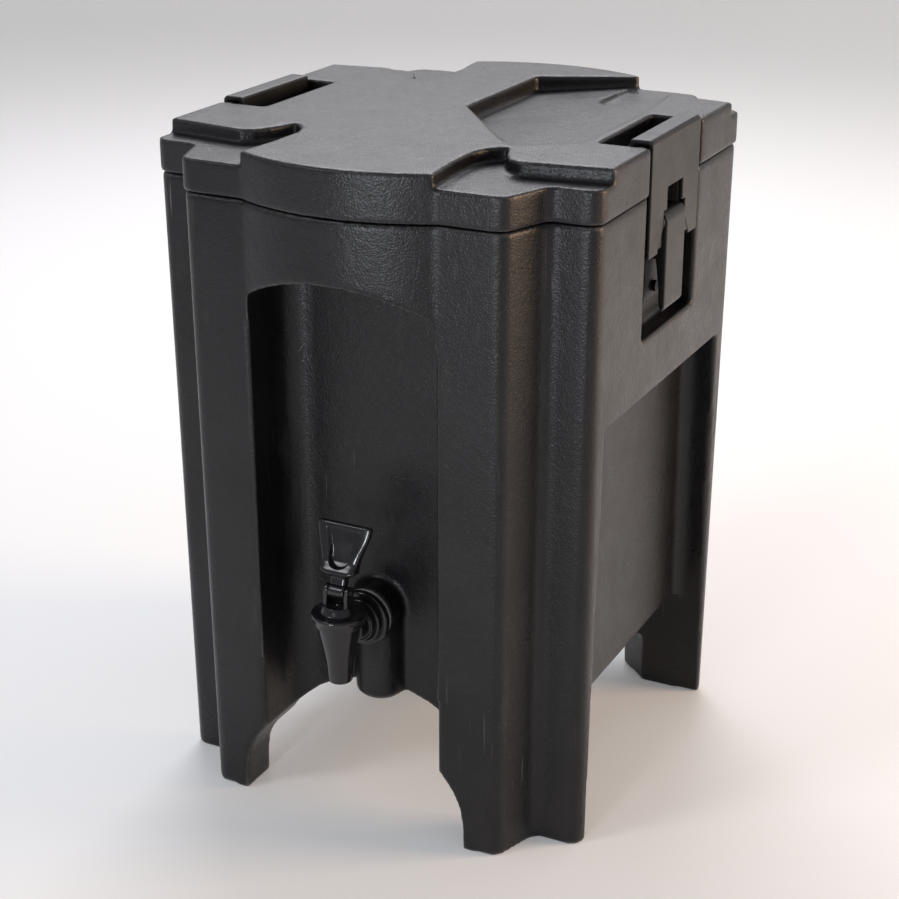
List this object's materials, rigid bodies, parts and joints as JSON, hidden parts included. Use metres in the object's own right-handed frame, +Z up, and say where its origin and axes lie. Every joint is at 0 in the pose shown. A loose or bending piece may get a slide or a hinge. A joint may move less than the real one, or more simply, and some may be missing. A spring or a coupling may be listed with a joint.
{
  "type": "insulated drinks carrier",
  "caption": "Insulated drinks carrier: foam-filled moulded body on legs, lift-off stacking lid held by draw latches, and a self-closing draw-off tap in a front alcove.",
  "frame": {"origin": "centre of the carrier's box at floor level, under its feet", "axes": "+Z up, -Y the front with the tap, +X to the right for someone who faces the tap"},
  "size_m": [0.3044, 0.3592, 0.4468],
  "materials": {
    "shell": "satin, fine orange-peel",
    "latch": "satin",
    "tap": "gloss",
    "foam": "rigid foam",
    "silicone": "matte",
    "steel": "plain"
  },
  "bodies": {
    "root": {"body_shell": "shell", "body_foam": "foam", "body_fill_plug": "shell", "lid_shell": "shell", "lid_foam": "foam", "lid_fill_plug": "shell", "lid_gasket": "silicone", "tap_body": "tap", "tap_outer_washer": "silicone", "tap_inner_washer": "silicone", "tap_nut": "tap", "tap_bonnet": "tap", "tap_lever_pin": "steel", "latch_base_right": "latch", "latch_screw_right_1": "steel", "latch_screw_right_2": "steel", "lever_pin_right": "steel", "latch_base_left": "latch", "latch_screw_left_1": "steel", "latch_screw_left_2": "steel", "lever_pin_left": "steel"},
    "tap_lever": {"tap_lever": "tap"},
    "tap_stem": {"tap_stem": "tap", "tap_seat_cup": "silicone"},
    "latch_lever_right": {"latch_lever_right": "latch", "hook_pin_right": "steel"},
    "latch_hook_right": {"latch_hook_right": "latch"},
    "latch_lever_left": {"latch_lever_left": "latch", "hook_pin_left": "steel"},
    "latch_hook_left": {"latch_hook_left": "latch"}
  },
  "joints": [
    {"name": "tap_lever_pull", "type": "hinge", "parent": "root", "child": "tap_lever", "pos_m": [0, -0.1619, 0.1725], "axis": [1, 0, 0], "range_deg": [0, 35], "stiffness_Nm_per_rad": 0.12, "springref_deg": -11.46},
    {"name": "tap_stem_lift", "type": "slide", "parent": "root", "child": "tap_stem", "axis": [0, 0, 1], "range_m": [0, 0.0041]},
    {"name": "latch_right_open", "type": "hinge", "parent": "root", "child": "latch_lever_right", "pos_m": [0.146, 0.00411, 0.391], "axis": [0, -1, 0], "range_deg": [0, 105]},
    {"name": "hook_right_tilt", "type": "hinge", "parent": "latch_lever_right", "child": "latch_hook_right", "pos_m": [0.146, 0.00411, 0.3785], "axis": [0, -1, 0], "range_deg": [-92, 0]},
    {"name": "latch_left_open", "type": "hinge", "parent": "root", "child": "latch_lever_left", "pos_m": [-0.146, 0.00411, 0.391], "axis": [0, 1, 0], "range_deg": [0, 105]},
    {"name": "hook_left_tilt", "type": "hinge", "parent": "latch_lever_left", "child": "latch_hook_left", "pos_m": [-0.146, 0.00411, 0.3785], "axis": [0, 1, 0], "range_deg": [-92, 0]}
  ],
  "couplings": [
    {"joint": "tap_stem_lift", "follows": "tap_lever_pull", "m_per_rad": 0.0065},
    {"joint": "hook_right_tilt", "follows": "latch_right_open", "ratio": -0.87},
    {"joint": "hook_left_tilt", "follows": "latch_left_open", "ratio": -0.87}
  ]
}
